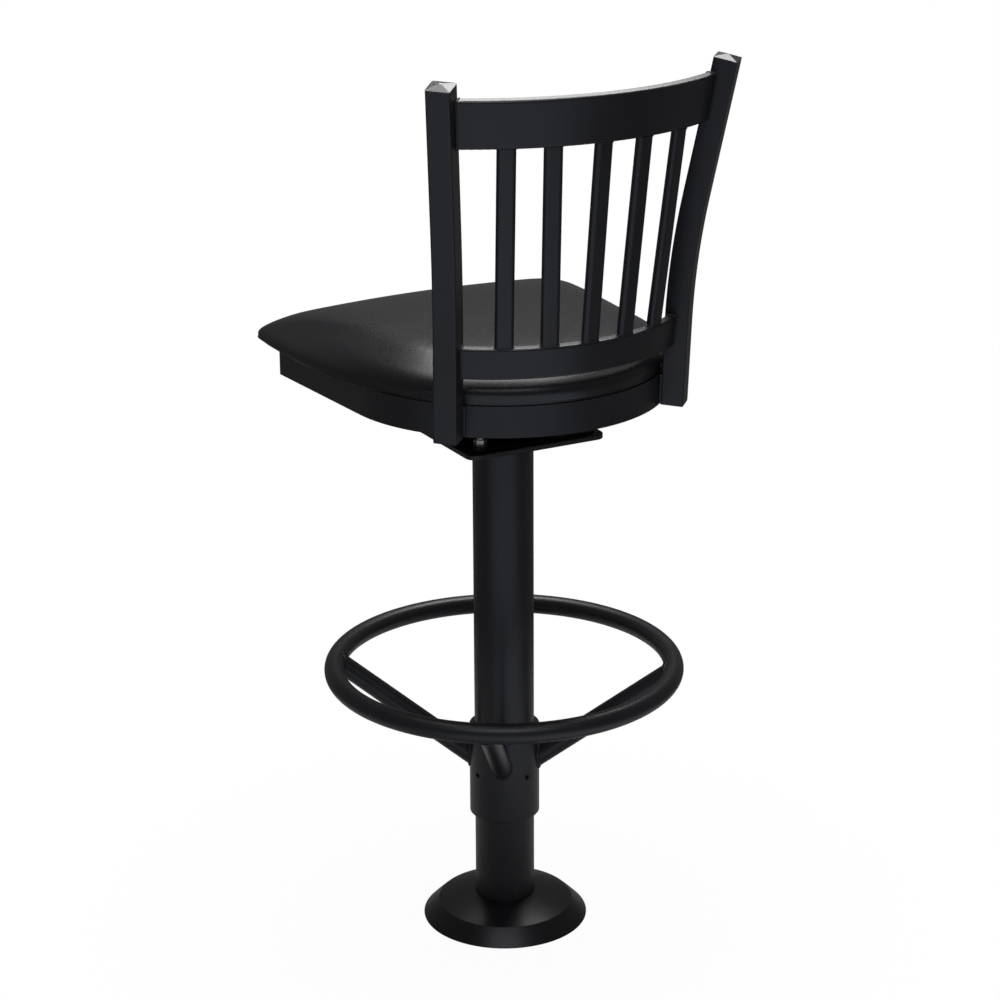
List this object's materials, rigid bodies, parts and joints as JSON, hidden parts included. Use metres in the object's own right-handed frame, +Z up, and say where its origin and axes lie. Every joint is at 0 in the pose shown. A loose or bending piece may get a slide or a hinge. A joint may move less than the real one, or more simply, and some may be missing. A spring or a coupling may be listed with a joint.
{
  "type": "bar stool",
  "caption": "Bolt-down swivel bar stool with a round column, adjustable foot ring, padded seat and curved slat back.",
  "frame": {"origin": "the column's axis where it meets the floor, at the centre of the floor flange's underside", "axes": "+Z up along the column, -Y the way the sitter faces, +X the sitter's left"},
  "size_m": [0.4624, 0.4992, 1.1431],
  "materials": {
    "powder_coated_steel": "satin black powder coat on steel",
    "powder_coated_cover": "satin black powder coat on spun sheet steel",
    "zinc_plated_sheet": "zinc-plated pressed sheet steel",
    "zinc_plated_steel": "bright zinc-plated fastener",
    "black_oxide_steel": "black oxide socket screw",
    "cage_steel": "pressed steel ball cage",
    "bearing_balls": "polished steel balls",
    "plywood": "sanded birch plywood",
    "grained_vinyl": "black leather-grain vinyl over foam",
    "cap_plastic": "glossy black moulded plastic",
    "plug_plastic": "matt black moulded plastic"
  },
  "bodies": {
    "base": {"floor_flange": "powder_coated_steel", "column": "powder_coated_steel", "column_foot_weld": "powder_coated_steel", "column_plate": "powder_coated_steel", "swivel_lower_plate": "zinc_plated_sheet", "king_pin": "zinc_plated_steel", "king_pin_nut": "zinc_plated_steel", "column_plate_bolts": "zinc_plated_steel", "column_plate_nuts": "zinc_plated_steel"},
    "flange_cover": {"flange_cover": "powder_coated_cover"},
    "foot_ring": {"ring_collar": "powder_coated_steel", "foot_ring": "powder_coated_steel", "foot_spoke_1": "powder_coated_steel", "foot_spoke_2": "powder_coated_steel", "foot_spoke_3": "powder_coated_steel", "foot_spoke_4": "powder_coated_steel", "ring_set_screws": "black_oxide_steel"},
    "ball_race": {"ball_cage": "cage_steel", "swivel_balls": "bearing_balls"},
    "seat": {"swivel_upper_plate": "zinc_plated_sheet", "seat_bolts": "zinc_plated_steel", "seat_nuts": "zinc_plated_steel", "seat_frame_band": "powder_coated_steel", "seat_front_bar": "powder_coated_steel", "rear_cross_tube": "powder_coated_steel", "front_cross_tube": "powder_coated_steel", "board_tabs": "powder_coated_steel", "board_screws": "zinc_plated_steel", "seat_board": "plywood", "seat_cushion": "grained_vinyl", "left_post": "powder_coated_steel", "left_post_cap": "cap_plastic", "left_post_plug": "plug_plastic", "right_post": "powder_coated_steel", "right_post_cap": "cap_plastic", "right_post_plug": "plug_plastic", "top_rail": "powder_coated_steel", "lower_rail": "powder_coated_steel", "back_slat_1": "powder_coated_steel", "back_slat_2": "powder_coated_steel", "back_slat_3": "powder_coated_steel", "back_slat_4": "powder_coated_steel", "back_slat_5": "powder_coated_steel"}
  },
  "joints": [
    {"name": "seat_swivel", "type": "hinge", "parent": "base", "child": "seat", "pos_m": [0, 0, 0.6926], "axis": [0, 0, 1], "continuous": true},
    {"name": "race_turn", "type": "hinge", "parent": "base", "child": "ball_race", "pos_m": [0, 0, 0.6926], "axis": [0, 0, 1], "continuous": true},
    {"name": "foot_ring_slide", "type": "slide", "parent": "base", "child": "foot_ring", "axis": [0, 0, 1], "range_m": [-0.03, 0.2]},
    {"name": "flange_cover_lift", "type": "slide", "parent": "base", "child": "flange_cover", "axis": [0, 0, 1], "range_m": [0, 0.07]}
  ],
  "couplings": [
    {"joint": "race_turn", "follows": "seat_swivel", "ratio": 0.5}
  ]
}
